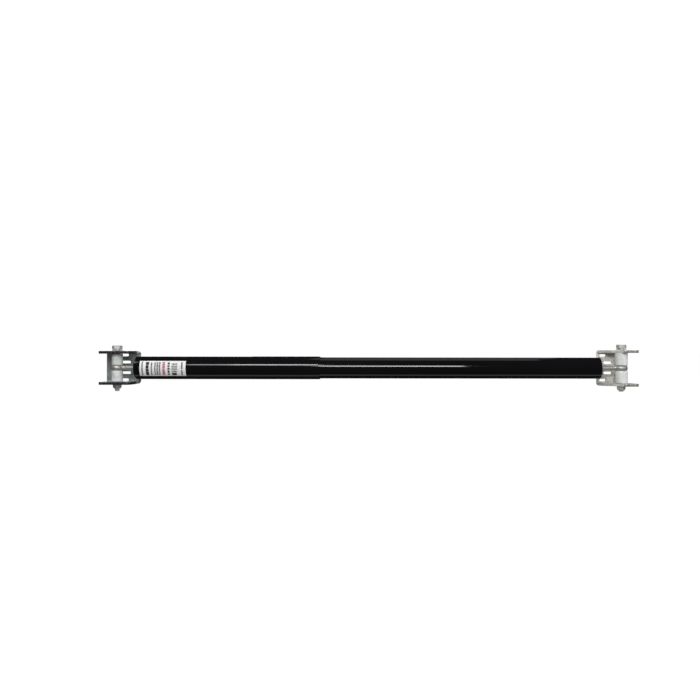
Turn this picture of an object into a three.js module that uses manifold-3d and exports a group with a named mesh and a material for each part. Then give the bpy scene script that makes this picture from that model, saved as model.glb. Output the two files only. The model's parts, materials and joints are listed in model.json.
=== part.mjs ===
// Telescoping gate arm: a damped gas strut inside two sliding tubes, with an eye on a vertical
// bolt at each end and a U-shaped steel bracket round each bolt.
// Millimetres, +Z up. X runs along the arm, from the gate (-X) to the post (+X), and Y runs into
// the gate and the post. The origin is on the back face of the post bracket, level with the arm
// and behind the post bolt. The arm is drawn at its full length, as on a closed gate.
import * as THREE from "three";
import { mergeVertices } from "three/addons/utils/BufferGeometryUtils.js";
import Module from "manifold-3d";

const wasm = await Module();
wasm.setup();

// Driving dimensions
const PIVOT_SPAN = 842; // between the two bolts, at full length
const BOLT_STANDOFF = 28; // bolt axis to the back of a bracket
const STROKE = 180; // how far the arm shortens
const GAP = 0.3; // between pieces that touch

const COVER_RADIUS = 19.05;
const COVER_WALL = 1.1;
const COVER_LENGTH = 306;
const COVER_TO_GATE_BOLT = 33;
const BODY_RADIUS = 17.65;
const BODY_WALL = 1.2;
const BODY_TO_POST_BOLT = 36;
const OVERLAP = 78; // how far the body tube reaches into the cover tube
const TUBE_LIP = 0.5; // chamfer on the tube ends that show
const TUBE_SIDES = 40;
const SIDES = 24; // of smaller round pieces

const CYLINDER_RADIUS = 14;
const CYLINDER_BORE = 12.5;
const CYLINDER_LENGTH = 298;
const ROD_RADIUS = 5;
const STUD_RADIUS = 4;

const PLATE = 4.6; // bracket steel
const BEND_RADIUS = 5.5; // outside of the bracket's bends
const SLOT_HEIGHT = 4.5;

const EYE_RADIUS = 10.5;
const EYE_THICKNESS = 8.4;
const BUSH_RADIUS = 6.5;
const SHOULDER_RADIUS = 5; // bolt shoulder that the eye turns on
const THREAD_RADIUS = 4;
const HEAD_FLATS = 15;
const HEAD_HEIGHT = 7;
const WASHER_THICKNESS = 1.6;
const WASHER_RADIUS = 8.6;
const NUT_FLATS = 13;
const NUT_HEX_HEIGHT = 4.7;
const NUT_COLLAR_HEIGHT = 1.8;
const BOLT_TIP_Z = -39;

const LABEL_LENGTH = 76;
const LABEL_FROM_END = 10;
const LABEL_THICKNESS = 0.25;
const LABEL_HALF_ANGLE = THREE.MathUtils.degToRad(42.5);

// Places along X that follow from them
const GATE_X = -PIVOT_SPAN;
const COVER_START = GATE_X + COVER_TO_GATE_BOLT;
const COVER_END = COVER_START + COVER_LENGTH;
const BODY_START = COVER_END - OVERLAP;
const BODY_END = -BODY_TO_POST_BOLT;
const COVER_BORE = COVER_RADIUS - COVER_WALL;
const BODY_BORE = BODY_RADIUS - BODY_WALL;
const ARM_Y = -BOLT_STANDOFF;
const SHOULDER_CLEAR = SHOULDER_RADIUS + GAP;

const gloss = (color) => new THREE.MeshStandardMaterial({ color, roughness: 0.22, metalness: 0 });
const blackPaint = () => gloss(0x0b0b0c);
const blackPlastic = () => new THREE.MeshStandardMaterial({ color: 0x121213, roughness: 0.5 });
const zinc = () => new THREE.MeshStandardMaterial({ color: 0xb9b7ae, roughness: 0.42, metalness: 0.9 });
const steel = () => new THREE.MeshStandardMaterial({ color: 0xd9d3c6, roughness: 0.2, metalness: 1 });
const nylon = () => new THREE.MeshStandardMaterial({ color: 0xd5d8d6, roughness: 0.55 });
const rubber = () => new THREE.MeshStandardMaterial({ color: 0x1b1b1b, roughness: 0.85 });
const bronze = () => new THREE.MeshStandardMaterial({ color: 0xa9814a, roughness: 0.4, metalness: 0.9 });
const alloy = () => new THREE.MeshStandardMaterial({ color: 0xa8abae, roughness: 0.35, metalness: 0.9 });
const paper = () => new THREE.MeshStandardMaterial({ color: 0xf0f0ee, roughness: 0.45 });

// ---- shapes ----

const TO_X = new THREE.Matrix4().makeBasis(
  new THREE.Vector3(0, 1, 0),
  new THREE.Vector3(0, 0, 1),
  new THREE.Vector3(1, 0, 0),
); // drawn in Y and Z, extruded along X
const TO_Y = new THREE.Matrix4().makeBasis(
  new THREE.Vector3(1, 0, 0),
  new THREE.Vector3(0, 0, 1),
  new THREE.Vector3(0, -1, 0),
); // drawn in X and Z, extruded along -Y

function solidOf(geometry) {
  const plain = geometry.clone();
  plain.deleteAttribute("normal");
  plain.deleteAttribute("uv");
  const merged = mergeVertices(plain, 1e-4);
  return new wasm.Manifold(
    new wasm.Mesh({
      numProp: 3,
      vertProperties: new Float32Array(merged.attributes.position.array),
      triVerts: new Uint32Array(merged.index.array),
    }),
  );
}

function geometryOf(solid) {
  const mesh = solid.getMesh();
  const geometry = new THREE.BufferGeometry();
  geometry.setAttribute("position", new THREE.BufferAttribute(mesh.vertProperties, 3));
  geometry.setIndex(new THREE.BufferAttribute(mesh.triVerts, 1));
  geometry.computeVertexNormals();
  return geometry;
}

// A body of revolution about Z. The outline is [radius, z] pairs in rising order on the outside.
function turnedZ(outline, sides = SIDES) {
  const points = outline.map(([r, z]) => new THREE.Vector2(r, z));
  return new THREE.LatheGeometry(points, sides).rotateX(Math.PI / 2);
}

// The same about X: the outline is [radius, x] pairs.
function turnedX(outline, sides = SIDES) {
  const points = outline.map(([r, x]) => new THREE.Vector2(r, x));
  return new THREE.LatheGeometry(points, sides).rotateZ(-Math.PI / 2);
}

const ringOutline = (inner, outer, from, to) => [
  [inner, from],
  [outer, from],
  [outer, to],
  [inner, to],
  [inner, from],
];
const ringZ = (inner, outer, from, to) => turnedZ(ringOutline(inner, outer, from, to));
const ringX = (inner, outer, from, to) => turnedX(ringOutline(inner, outer, from, to));

const rodZ = (radius, from, to, sides = SIDES) =>
  new THREE.CylinderGeometry(radius, radius, to - from, sides)
    .rotateX(Math.PI / 2)
    .translate(0, 0, (from + to) / 2);
const rodX = (radius, from, to, sides = SIDES) =>
  new THREE.CylinderGeometry(radius, radius, to - from, sides)
    .rotateZ(-Math.PI / 2)
    .translate((from + to) / 2, 0, 0);

// A hexagon's circle, from its width across the flats
const acrossCorners = (flats) => flats / Math.sqrt(3);
// Two of its flats face the front and the back
const hexZ = (flats, from, to) => rodZ(acrossCorners(flats), from, to, 6).rotateZ(Math.PI / 6);
const hexX = (flats, from, to) => rodX(acrossCorners(flats), from, to, 6);

// A tube along X with a chamfered lip at both ends
const tubeX = (bore, radius, from, to) =>
  turnedX([
    [bore, from],
    [radius - TUBE_LIP, from],
    [radius, from + TUBE_LIP],
    [radius, to - TUBE_LIP],
    [radius - TUBE_LIP, to],
    [bore, to],
    [bore, from],
  ], TUBE_SIDES);

// A closed outline whose corners [x, y, radius] are rounded
function roundedShape(corners) {
  const shape = new THREE.Shape();
  const count = corners.length;
  corners.forEach(([x, y, radius], i) => {
    const at = new THREE.Vector2(x, y);
    const [bx, by] = corners[(i + count - 1) % count];
    const [nx, ny] = corners[(i + 1) % count];
    const back = new THREE.Vector2(bx, by).sub(at).normalize();
    const on = new THREE.Vector2(nx, ny).sub(at).normalize();
    const half = Math.acos(THREE.MathUtils.clamp(back.dot(on), -1, 1)) / 2;
    const reach = radius / Math.tan(half);
    const enter = at.clone().addScaledVector(back, reach);
    const leave = at.clone().addScaledVector(on, reach);
    if (i === 0) shape.moveTo(enter.x, enter.y);
    else shape.lineTo(enter.x, enter.y);
    if (radius > 0) {
      const middle = back.clone().add(on).normalize();
      const centre = at.clone().addScaledVector(middle, radius / Math.sin(half));
      const start = Math.atan2(enter.y - centre.y, enter.x - centre.x);
      const end = Math.atan2(leave.y - centre.y, leave.x - centre.x);
      const clockwise = back.x * on.y - back.y * on.x > 0;
      shape.absarc(centre.x, centre.y, radius, start, end, clockwise);
    }
  });
  shape.closePath();
  return shape;
}

const extruded = (shape, depth, curveSegments = 3) =>
  new THREE.ExtrudeGeometry(shape, { depth, bevelEnabled: false, curveSegments });

// ---- brackets ----

// A plate bent into a U that opens to -Y: a web on the mounting face and an ear above and below.
// `plan` is the outline of the ears and the web from above, about the bolt; `slots` are
// [x from, x to, z] in the web; `corners` rounds the web's two corners on the side `cornerSide`.
const BLANK_DEPTH = 90; // the bent plate before its outline is cut
const BLANK_WIDTH = 120;
const BEHIND = 2; // how far a cut runs past the mounting face
function bracket({ halfHeight, plan, slots, cornerX, cornerSide, cornerRadius }) {
  const innerBend = BEND_RADIUS - PLATE;
  const inner = halfHeight - PLATE;
  const profile = roundedShape([
    [0, -halfHeight, BEND_RADIUS],
    [0, halfHeight, BEND_RADIUS],
    [-BLANK_DEPTH, halfHeight, 0],
    [-BLANK_DEPTH, inner, 0],
    [-PLATE, inner, innerBend],
    [-PLATE, -inner, innerBend],
    [-BLANK_DEPTH, -inner, 0],
    [-BLANK_DEPTH, -halfHeight, 0],
  ]);
  const blank = extruded(profile, BLANK_WIDTH).applyMatrix4(TO_X).translate(-BLANK_WIDTH / 2, 0, 0);
  let body = solidOf(blank);
  const tall = 4 * halfHeight;
  const outline = extruded(roundedShape(plan), tall).translate(0, 0, -tall / 2);
  body = body.intersect(solidOf(outline));
  const bore = rodZ(SHOULDER_CLEAR, -tall / 2, tall / 2).translate(0, ARM_Y, 0);
  body = body.subtract(solidOf(bore));

  const through = 4 * PLATE;
  const end = SLOT_HEIGHT / 2;
  for (const [from, to, z] of slots) {
    const slot = roundedShape([
      [from, z - end, end * 0.999],
      [to, z - end, end * 0.999],
      [to, z + end, end * 0.999],
      [from, z + end, end * 0.999],
    ]);
    body = body.subtract(solidOf(extruded(slot, through, 2).applyMatrix4(TO_Y).translate(0, through / 2, 0)));
  }
  for (const side of [-1, 1]) {
    const x = cornerX - cornerSide * cornerRadius;
    const z = side * (halfHeight - cornerRadius);
    const size = cornerRadius + BEHIND;
    const block = new THREE.BoxGeometry(size, through, size).translate(
      x + (cornerSide * size) / 2,
      0,
      z + (side * size) / 2,
    );
    const round = rodZ(cornerRadius, -through, through).rotateX(Math.PI / 2).translate(x, 0, z);
    body = body.subtract(solidOf(block).subtract(solidOf(round)));
  }
  return geometryOf(body);
}

const GATE_HALF_HEIGHT = 28;
const GATE_WEB = [-26, 31];
const GATE_EAR_END = 26;
const EAR_DEPTH = 45;
const EAR_STEP_Y = -9.5; // in front of this the ear is narrower than the web
const gateBracket = () =>
  bracket({
    halfHeight: GATE_HALF_HEIGHT,
    plan: [
      [GATE_WEB[0], BEHIND, 0],
      [GATE_WEB[0], -EAR_DEPTH, 4],
      [GATE_EAR_END, -EAR_DEPTH, 6],
      [GATE_EAR_END, EAR_STEP_Y, 2],
      [GATE_WEB[1], EAR_STEP_Y, 1],
      [GATE_WEB[1], BEHIND, 0],
    ],
    slots: [
      [-9, 11.5, 21],
      [-9, 11.5, -21],
      [-1, 15, 9],
      [-1, 15, -9],
    ],
    cornerX: GATE_WEB[1],
    cornerSide: 1,
    cornerRadius: 5,
  });

const POST_HALF_HEIGHT = 30.2;
const POST_WEB = [-34, 17.5];
const POST_NOSE = [2.4, 27]; // the front edge of the ears
const POST_EAR_DEPTH = 43.5;
const postBracket = () =>
  bracket({
    halfHeight: POST_HALF_HEIGHT,
    plan: [
      [POST_WEB[0], BEHIND, 0],
      [POST_WEB[0], -PLATE - 1.5, 2],
      [POST_NOSE[0], -POST_EAR_DEPTH, 5],
      [POST_NOSE[1], -POST_EAR_DEPTH, 5],
      [POST_WEB[1], -PLATE, 3],
      [POST_WEB[1], BEHIND, 0],
    ],
    slots: [
      [-30, -18.5, 21],
      [-30, -18.5, -21],
      [-23, -8.5, 8.6],
      [-23, -8.5, -8.6],
    ],
    cornerX: POST_WEB[0],
    cornerSide: -1,
    cornerRadius: 3,
  });

// ---- fasteners, about the bolt's own axis ----

function pivotBolt(halfHeight) {
  const under = halfHeight + GAP + WASHER_THICKNESS + GAP;
  const shoulderEnd = -halfHeight + 0.2;
  const shank = turnedZ([
    [0, BOLT_TIP_Z],
    [THREAD_RADIUS - 0.8, BOLT_TIP_Z],
    [THREAD_RADIUS, BOLT_TIP_Z + 0.8],
    [THREAD_RADIUS, shoulderEnd],
    [SHOULDER_RADIUS, shoulderEnd],
    [SHOULDER_RADIUS, under + 1],
    [0, under + 1],
  ]);
  const head = solidOf(hexZ(HEAD_FLATS, under, under + HEAD_HEIGHT));
  const corner = acrossCorners(HEAD_FLATS);
  const dome = turnedZ([
    [0, under - 1],
    [corner + 1, under - 1],
    [corner + 1, under + HEAD_HEIGHT - 1.6],
    [corner - 1.1, under + HEAD_HEIGHT],
    [0, under + HEAD_HEIGHT],
  ]);
  return geometryOf(solidOf(shank).add(head.intersect(solidOf(dome))));
}

const washer = (halfHeight) =>
  ringZ(SHOULDER_CLEAR, WASHER_RADIUS, halfHeight + GAP, halfHeight + GAP + WASHER_THICKNESS);

// The lock nut hangs under the lower ear: a hexagon, then a round collar that holds the insert.
function lockNut(halfHeight) {
  const top = -halfHeight - GAP;
  const hexEnd = top - NUT_HEX_HEIGHT;
  const tip = hexEnd - NUT_COLLAR_HEIGHT;
  const hex = solidOf(hexZ(NUT_FLATS, hexEnd, top).rotateZ(Math.PI / 6));
  const collar = solidOf(rodZ(NUT_FLATS / 2 - 0.4, tip, hexEnd + 1));
  const bore = solidOf(rodZ(THREAD_RADIUS + GAP, tip - 5, top + 5));
  const seat = solidOf(rodZ(THREAD_RADIUS + 1.35, tip - 5, hexEnd));
  return geometryOf(hex.add(collar).subtract(bore).subtract(seat));
}

const nutInsert = (halfHeight) => {
  const top = -halfHeight - GAP - NUT_HEX_HEIGHT;
  return ringZ(THREAD_RADIUS + GAP, THREAD_RADIUS + 1.05, top - NUT_COLLAR_HEIGHT + GAP, top - GAP);
};

const spacer = (radius, halfHeight, side) => {
  const near = EYE_THICKNESS / 2 + GAP + 0.1;
  const far = halfHeight - PLATE - GAP;
  const edge = 0.6;
  const outline = [
    [SHOULDER_CLEAR, near],
    [radius - edge, near],
    [radius, near + edge],
    [radius, far - edge],
    [radius - edge, far],
    [SHOULDER_CLEAR, far],
    [SHOULDER_CLEAR, near],
  ];
  const made = turnedZ(outline);
  return side > 0 ? made : made.translate(0, 0, -near - far);
};

// ---- eyes and end caps ----

// A round eye with its stud along X; the stud ends at `studEnd`, measured from the eye's centre.
function eye(studEnd) {
  const half = EYE_THICKNESS / 2;
  const edge = 1.2;
  const head = solidOf(
    turnedZ([
      [0, -half],
      [EYE_RADIUS - edge, -half],
      [EYE_RADIUS, -half + edge],
      [EYE_RADIUS, half - edge],
      [EYE_RADIUS - edge, half],
      [0, half],
    ], 36),
  );
  const near = Math.sign(studEnd) * (EYE_RADIUS - 3);
  const stud = solidOf(rodX(STUD_RADIUS, Math.min(near, studEnd), Math.max(near, studEnd)));
  const bore = solidOf(rodZ(BUSH_RADIUS + GAP, -half - 5, half + 5));
  return geometryOf(head.add(stud).subtract(bore));
}

const eyeBush = () => ringZ(SHOULDER_CLEAR, BUSH_RADIUS, -EYE_THICKNESS / 2, EYE_THICKNESS / 2);

// ---- what the two tubes hold ----

const CAP_LENGTH = 22;
const CAP_INSET = 1; // the post cap's face, inside the tube
const CAP_PROUD = 2; // the gate cap's face, outside the tube
const CAP_DOME = 2.5;
const STUD_DEPTH = 10;
const LOCK_NUT_LENGTH = 6.7;
const BUMPER_LENGTH = 14;
const GLAND_FLANGE = 2.7;
const GLAND_BODY = 8;
const GLAND_SPIGOT = 12;
const PISTON_LENGTH = 20;
const FLOAT_LENGTH = 14;
const FLOAT_REST = 332; // the floating piston's near face, from the post bolt
const BASE_SPIGOT = 10;
const BASE_BODY = 12.7;
const RING_WIDTH = 5;
const RING_DEPTH = 1.7;

const CAP_START = COVER_START - CAP_PROUD;
const CAP_INNER = COVER_START + CAP_INSET + CAP_LENGTH;
const LOCK_NUT_START = CAP_INNER + GAP;
const BUMPER_START = LOCK_NUT_START + LOCK_NUT_LENGTH + GAP;
const GLAND_START = BODY_START - GLAND_FLANGE - GAP;
const GLAND_SHOULDER = BODY_START - GAP + GLAND_BODY;
const CYLINDER_START = GLAND_SHOULDER + GAP;
const CYLINDER_END = CYLINDER_START + CYLINDER_LENGTH;
const GLAND_END = GLAND_SHOULDER + GLAND_SPIGOT;
const STOP_START = GLAND_END + GAP + 0.1;
const STOP_LENGTH = 2.2;
const PISTON_START = STOP_START + STOP_LENGTH + 0.2;
const PISTON_END = PISTON_START + PISTON_LENGTH;
const PISTON_NUT_LENGTH = 6.7;
const POST_CAP_OUTER = BODY_END - CAP_INSET;
const POST_CAP_INNER = POST_CAP_OUTER - CAP_LENGTH;

// A disc with a groove for its ring at mid-length
const groovedDisc = (bore, from, length) => {
  const radius = CYLINDER_BORE - GAP;
  const start = from + (length - RING_WIDTH) / 2;
  return turnedX([
    [bore, from],
    [radius, from],
    [radius, start],
    [radius - RING_DEPTH, start],
    [radius - RING_DEPTH, start + RING_WIDTH],
    [radius, start + RING_WIDTH],
    [radius, from + length],
    [bore, from + length],
    ...(bore > 0 ? [[bore, from]] : []),
  ]);
};
const discRing = (from, length) => {
  const start = from + (length - RING_WIDTH) / 2 + GAP;
  return ringX(CYLINDER_BORE - RING_DEPTH, CYLINDER_BORE - 0.12, start, start + RING_WIDTH - 2 * GAP);
};

const gateCap = () => {
  const radius = COVER_BORE - GAP;
  const studHole = STUD_RADIUS + GAP;
  const rodHole = ROD_RADIUS + GAP;
  return turnedX([
    [0, CAP_START + STUD_DEPTH + GAP],
    [studHole, CAP_START + STUD_DEPTH + GAP],
    [studHole, CAP_START],
    [radius - CAP_DOME, CAP_START],
    [radius - CAP_DOME / 4, CAP_START + CAP_DOME / 4],
    [radius, CAP_START + CAP_DOME],
    [radius, CAP_INNER],
    [rodHole, CAP_INNER],
    [rodHole, CAP_INNER - STUD_DEPTH],
    [0, CAP_INNER - STUD_DEPTH],
  ]);
};

const postCap = () => {
  const radius = BODY_BORE - GAP;
  const hole = STUD_RADIUS + GAP;
  return turnedX([
    [hole, POST_CAP_INNER],
    [radius, POST_CAP_INNER],
    [radius, POST_CAP_OUTER - 1],
    [radius - 1, POST_CAP_OUTER],
    [hole, POST_CAP_OUTER],
    [hole, POST_CAP_INNER],
  ]);
};

const lockNutX = (flats, hole, from, length) =>
  geometryOf(
    solidOf(hexX(flats, from, from + length)).subtract(solidOf(rodX(hole, from - 5, from + length + 5))),
  );

const pistonRod = () => {
  const neck = PISTON_START - 0.2;
  const tip = PISTON_END + GAP + PISTON_NUT_LENGTH + 4;
  return turnedX([
    [0, CAP_INNER - STUD_DEPTH + GAP],
    [ROD_RADIUS, CAP_INNER - STUD_DEPTH + GAP],
    [ROD_RADIUS, neck],
    [STUD_RADIUS, neck],
    [STUD_RADIUS, tip - 1],
    [STUD_RADIUS - 1, tip],
    [0, tip],
  ]);
};

// The head at the open end of the body tube: it guides the rod and holds its seal.
const SEAL_RADIUS = 9;
const SEAL_LENGTH = 6.6;
const rodGuide = () => {
  const bore = ROD_RADIUS + GAP;
  const seat = GLAND_START + SEAL_LENGTH + 2 * GAP;
  return turnedX([
    [bore, seat],
    [SEAL_RADIUS, seat],
    [SEAL_RADIUS, GLAND_START],
    [BODY_RADIUS - 0.4, GLAND_START],
    [BODY_RADIUS - 0.4, BODY_START - GAP],
    [BODY_BORE - GAP, BODY_START - GAP],
    [BODY_BORE - GAP, GLAND_SHOULDER],
    [CYLINDER_BORE - GAP, GLAND_SHOULDER],
    [CYLINDER_BORE - GAP, GLAND_END],
    [bore, GLAND_END],
    [bore, seat],
  ]);
};
const rodSeal = () =>
  ringX(ROD_RADIUS + GAP, SEAL_RADIUS - GAP, GLAND_START + GAP, GLAND_START + GAP + SEAL_LENGTH);

const PLUG_RADIUS = 3;
const PLUG_LENGTH = 12;
const cylinderBase = () => {
  const hole = PLUG_RADIUS + GAP;
  const shoulder = CYLINDER_END + GAP;
  return turnedX([
    [hole, CYLINDER_END - BASE_SPIGOT],
    [CYLINDER_BORE - GAP, CYLINDER_END - BASE_SPIGOT],
    [CYLINDER_BORE - GAP, shoulder],
    [BODY_BORE - GAP, shoulder],
    [BODY_BORE - GAP, shoulder + BASE_BODY],
    [hole, shoulder + BASE_BODY],
    [hole, CYLINDER_END - BASE_SPIGOT],
  ]);
};
const fillPlug = () => {
  const face = CYLINDER_END + GAP + BASE_BODY + GAP;
  const head = solidOf(hexX(10, face, face + 4));
  const shank = solidOf(rodX(PLUG_RADIUS, face - PLUG_LENGTH, face + 1));
  return geometryOf(head.add(shank));
};

// A curved sheet on the front of the cover tube
const label = () => {
  const inner = COVER_RADIUS + 0.1;
  const outer = inner + LABEL_THICKNESS;
  const front = Math.PI; // straight to -Y, where the outline is drawn in Y and Z
  const shape = new THREE.Shape();
  shape.absarc(0, 0, outer, front - LABEL_HALF_ANGLE, front + LABEL_HALF_ANGLE, false);
  shape.absarc(0, 0, inner, front + LABEL_HALF_ANGLE, front - LABEL_HALF_ANGLE, true);
  shape.closePath();
  const start = COVER_START + LABEL_FROM_END;
  return extruded(shape, LABEL_LENGTH, 8).applyMatrix4(TO_X).translate(start, 0, 0);
};

// ---- the assembly ----

const piece = (name, geometry, material) => {
  const mesh = new THREE.Mesh(geometry, material);
  mesh.name = name;
  return mesh;
};

// The bracket, its bolt and what is on it, at one end of the arm
function endMount(end, x, halfHeight, spacerRadius, bracketGeometry) {
  const mount = new THREE.Group();
  mount.position.x = x;
  mount.add(piece(`${end}_bracket`, bracketGeometry, zinc()));
  const stack = new THREE.Group();
  stack.position.y = ARM_Y;
  stack.add(
    piece(`${end}_bolt`, pivotBolt(halfHeight), zinc()),
    piece(`${end}_washer`, washer(halfHeight), zinc()),
    piece(`${end}_lock_nut`, lockNut(halfHeight), zinc()),
    piece(`${end}_nut_insert`, nutInsert(halfHeight), nylon()),
    piece(`${end}_spacer_top`, spacer(spacerRadius, halfHeight, 1), nylon()),
    piece(`${end}_spacer_bottom`, spacer(spacerRadius, halfHeight, -1), nylon()),
  );
  mount.add(stack);
  return mount;
}

const arm = new THREE.Group(); // everything on the arm's own axis
arm.position.y = ARM_Y;

const postEye = piece("post_eye", eye(POST_CAP_INNER - 9), steel());
const postBush = piece("post_eye_bush", eyeBush(), bronze());
const gateEye = piece("gate_eye", eye(CAP_START + STUD_DEPTH - GATE_X), steel());
gateEye.position.x = GATE_X;
const gateBush = piece("gate_eye_bush", eyeBush(), bronze());
gateBush.position.x = GATE_X;
arm.add(postEye, postBush, gateEye, gateBush);

arm.add(
  piece("post_end_cap", postCap(), blackPlastic()),
  piece(
    "post_stud_nut",
    lockNutX(NUT_FLATS, STUD_RADIUS + GAP, POST_CAP_INNER - GAP - LOCK_NUT_LENGTH, LOCK_NUT_LENGTH),
    zinc(),
  ),
  piece("body_tube", tubeX(BODY_BORE, BODY_RADIUS, BODY_START, BODY_END), blackPaint()),
  piece("pressure_cylinder", ringX(CYLINDER_BORE, CYLINDER_RADIUS, CYLINDER_START, CYLINDER_END), steel()),
  piece("cylinder_base", cylinderBase(), alloy()),
  piece("fill_plug", fillPlug(), zinc()),
  piece("rod_guide", rodGuide(), alloy()),
  piece("rod_seal", rodSeal(), rubber()),
);

arm.add(
  piece("floating_piston", groovedDisc(0, -FLOAT_REST, FLOAT_LENGTH), alloy()),
  piece("floating_piston_ring", discRing(-FLOAT_REST, FLOAT_LENGTH), rubber()),
);

arm.add(
  piece("piston", groovedDisc(STUD_RADIUS + GAP, PISTON_START, PISTON_LENGTH), alloy()),
  piece("piston_ring", discRing(PISTON_START, PISTON_LENGTH), rubber()),
  piece("piston_nut", lockNutX(NUT_FLATS, STUD_RADIUS + GAP, PISTON_END + GAP, PISTON_NUT_LENGTH), zinc()),
  piece("rebound_stop", ringX(ROD_RADIUS + GAP, 10, STOP_START, STOP_START + STOP_LENGTH), nylon()),
);

arm.add(
  piece("piston_rod", pistonRod(), steel()),
  piece("rod_lock_nut", lockNutX(16, ROD_RADIUS + GAP, LOCK_NUT_START, LOCK_NUT_LENGTH), zinc()),
  piece("bump_stop", ringX(ROD_RADIUS + GAP, 13, BUMPER_START, BUMPER_START + BUMPER_LENGTH), rubber()),
  piece("gate_end_cap", gateCap(), blackPlastic()),
  piece("cover_tube", tubeX(COVER_BORE, COVER_RADIUS, COVER_START, COVER_END), blackPaint()),
  piece("label", label(), paper()),
);

const GATE_SPACER_RADIUS = 9;
const POST_SPACER_RADIUS = 10.5;
const group = new THREE.Group();
group.add(
  arm,
  endMount("gate", GATE_X, GATE_HALF_HEIGHT, GATE_SPACER_RADIUS, gateBracket()),
  endMount("post", 0, POST_HALF_HEIGHT, POST_SPACER_RADIUS, postBracket()),
);

export default group;
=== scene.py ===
"""A telescoping gate arm between its two brackets: fine meshes and materials round the CAD frame. Metres."""

import json
import math
import random

import bmesh
import bpy
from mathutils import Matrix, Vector

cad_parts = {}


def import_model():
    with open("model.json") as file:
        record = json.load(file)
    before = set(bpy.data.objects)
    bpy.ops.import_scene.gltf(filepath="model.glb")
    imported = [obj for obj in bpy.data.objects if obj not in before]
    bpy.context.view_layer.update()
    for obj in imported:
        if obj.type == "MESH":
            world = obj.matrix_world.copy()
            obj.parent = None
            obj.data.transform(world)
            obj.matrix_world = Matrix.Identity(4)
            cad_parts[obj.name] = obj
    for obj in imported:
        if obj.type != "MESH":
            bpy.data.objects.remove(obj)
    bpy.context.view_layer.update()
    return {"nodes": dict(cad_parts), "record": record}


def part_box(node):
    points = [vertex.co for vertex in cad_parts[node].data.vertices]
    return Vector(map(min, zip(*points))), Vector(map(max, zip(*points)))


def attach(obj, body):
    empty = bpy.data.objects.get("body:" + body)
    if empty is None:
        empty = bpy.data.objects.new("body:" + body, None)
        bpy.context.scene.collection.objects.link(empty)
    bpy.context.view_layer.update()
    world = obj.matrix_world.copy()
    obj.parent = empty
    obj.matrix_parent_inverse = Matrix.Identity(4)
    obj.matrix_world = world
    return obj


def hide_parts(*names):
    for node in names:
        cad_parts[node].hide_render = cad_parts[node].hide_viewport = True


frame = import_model()

MM = 0.001
TAU = 2 * math.pi
RECORD = frame["record"]
BODY_OF = {n: body for body, names in RECORD["behaviour"]["bodies"].items() for n in names}
SLOT_OF = {row["node"]: row["material_slot"] for row in RECORD["subparts"]}
PIVOTS = {j["name"]: Vector(j["pos_m"]) for j in RECORD["behaviour"]["joints"] if "pos_m" in j}
GATE = PIVOTS["gate_pivot"]
POST = PIVOTS["post_pivot"]
ARM_Y = POST.y

# What the frame's boxes don't say
PLATE = 4.6 * MM
BEND = 5.5 * MM
SLOT_HEIGHT = 4.5 * MM
SHOULDER = 5.0 * MM
STUD = 4.0 * MM
ROD = 5.0 * MM
CLEAR = 0.3 * MM
THREAD = 4.0 * MM
PITCH = 1.25 * MM
THREAD_DEPTH = 0.72 * MM
HEAD_FLATS = 15 * MM
NUT_FLATS = 13 * MM
BUSH = 6.5 * MM
BORE = 12.5 * MM
STRAIGHT = 2 * MM


# ---------------------------------------------------------------- outlines and meshes


def rounded(corners, per_arc=6):
    """A closed outline of (u, v, radius) corners, each rounded by an arc of its radius."""
    points = []
    count = len(corners)
    for i, (u, v, radius) in enumerate(corners):
        at = Vector((u, v))
        if radius <= 0:
            points.append(at)
            continue
        back = (Vector(corners[i - 1][:2]) - at).normalized()
        on = (Vector(corners[(i + 1) % count][:2]) - at).normalized()
        half = math.acos(max(-1, min(1, back.dot(on)))) / 2
        centre = at + (back + on).normalized() * (radius / math.sin(half))
        start = at + back * (radius / math.tan(half)) - centre
        end = at + on * (radius / math.tan(half)) - centre
        first = math.atan2(start.y, start.x)
        turn = (math.atan2(end.y, end.x) - first + math.pi) % TAU - math.pi
        for k in range(per_arc + 1):
            a = first + turn * k / per_arc
            points.append(centre + radius * Vector((math.cos(a), math.sin(a))))
    return points


def make_object(name, mesh, smooth_deg=32):
    for polygon in mesh.polygons:
        polygon.use_smooth = True
    mesh.set_sharp_from_angle(angle=math.radians(smooth_deg))
    obj = bpy.data.objects.new(name, mesh)
    bpy.context.scene.collection.objects.link(obj)
    return obj


def skin(name, rings, loop, smooth_deg=32):
    """A mesh over rings of points with the same count. A loop joins its last ring to its first; otherwise
    both ends are closed by a fan."""
    bm = bmesh.new()
    made = [[bm.verts.new(p) for p in ring] for ring in rings]
    steps = len(rings[0])
    pairs = list(zip(made, made[1:] + made[:1]))
    for a, b in pairs if loop else pairs[:-1]:
        for j in range(steps):
            k = (j + 1) % steps
            bm.faces.new((a[j], a[k], b[k], b[j]))
    if not loop:
        for ring in (made[0], made[-1]):
            centre = bm.verts.new(sum((v.co for v in ring), Vector()) / steps)
            for j in range(steps):
                bm.faces.new((ring[j], ring[(j + 1) % steps], centre))
    bmesh.ops.recalc_face_normals(bm, faces=bm.faces)
    mesh = bpy.data.meshes.new(name)
    bm.to_mesh(mesh)
    bm.free()
    return make_object(name, mesh, smooth_deg)


def at_angle(axis, centre, radius, angle, along):
    """A point round an axis, at a place `along` it. Round X the angle starts at +Y, round Z at +X."""
    c, s = radius * math.cos(angle), radius * math.sin(angle)
    if axis == "X":
        return Vector((along, centre.y + c, centre.z + s))
    return Vector((centre.x + c, centre.y + s, along))


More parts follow.
